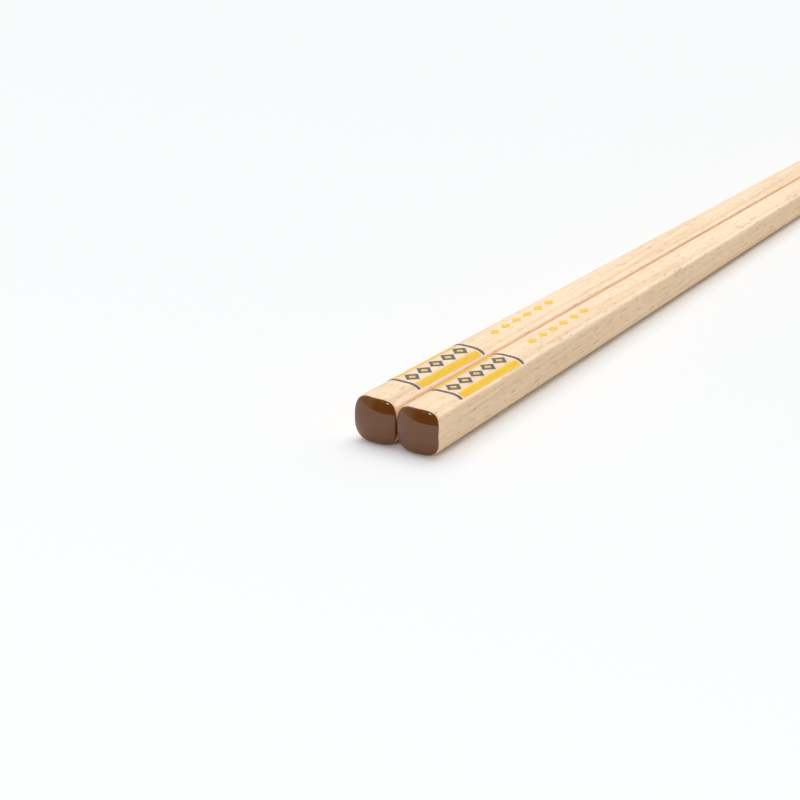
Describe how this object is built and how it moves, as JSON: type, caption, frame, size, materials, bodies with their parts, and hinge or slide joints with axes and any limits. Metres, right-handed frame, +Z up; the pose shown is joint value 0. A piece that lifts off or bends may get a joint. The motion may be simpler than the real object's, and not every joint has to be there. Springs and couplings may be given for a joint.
{
  "type": "pair of wooden chopsticks",
  "caption": "Pair of tapered wooden chopsticks lying side by side, rounded square at the butt and round at the tip, with lacquered butt ends and a printed band.",
  "frame": {"origin": "on the surface the pair lies on, under the middle of the pair's bounding box", "axes": "+X along the pair from the lacquered butts to the tips, +Y to the left stick, +Z up"},
  "size_m": [0.225, 0.016, 0.008],
  "materials": {
    "beech": "beech, sanded, clear satin varnish",
    "end_lacquer": "brown gloss lacquer, dipped",
    "yellow_ink": "yellow printing ink, satin",
    "charcoal_ink": "charcoal printing ink, satin"
  },
  "bodies": {
    "root": {"left_stick": "beech", "left_end_lacquer": "end_lacquer", "left_yellow_print": "yellow_ink", "left_charcoal_print": "charcoal_ink", "right_stick": "beech", "right_end_lacquer": "end_lacquer", "right_yellow_print": "yellow_ink", "right_charcoal_print": "charcoal_ink"}
  },
  "joints": []
}
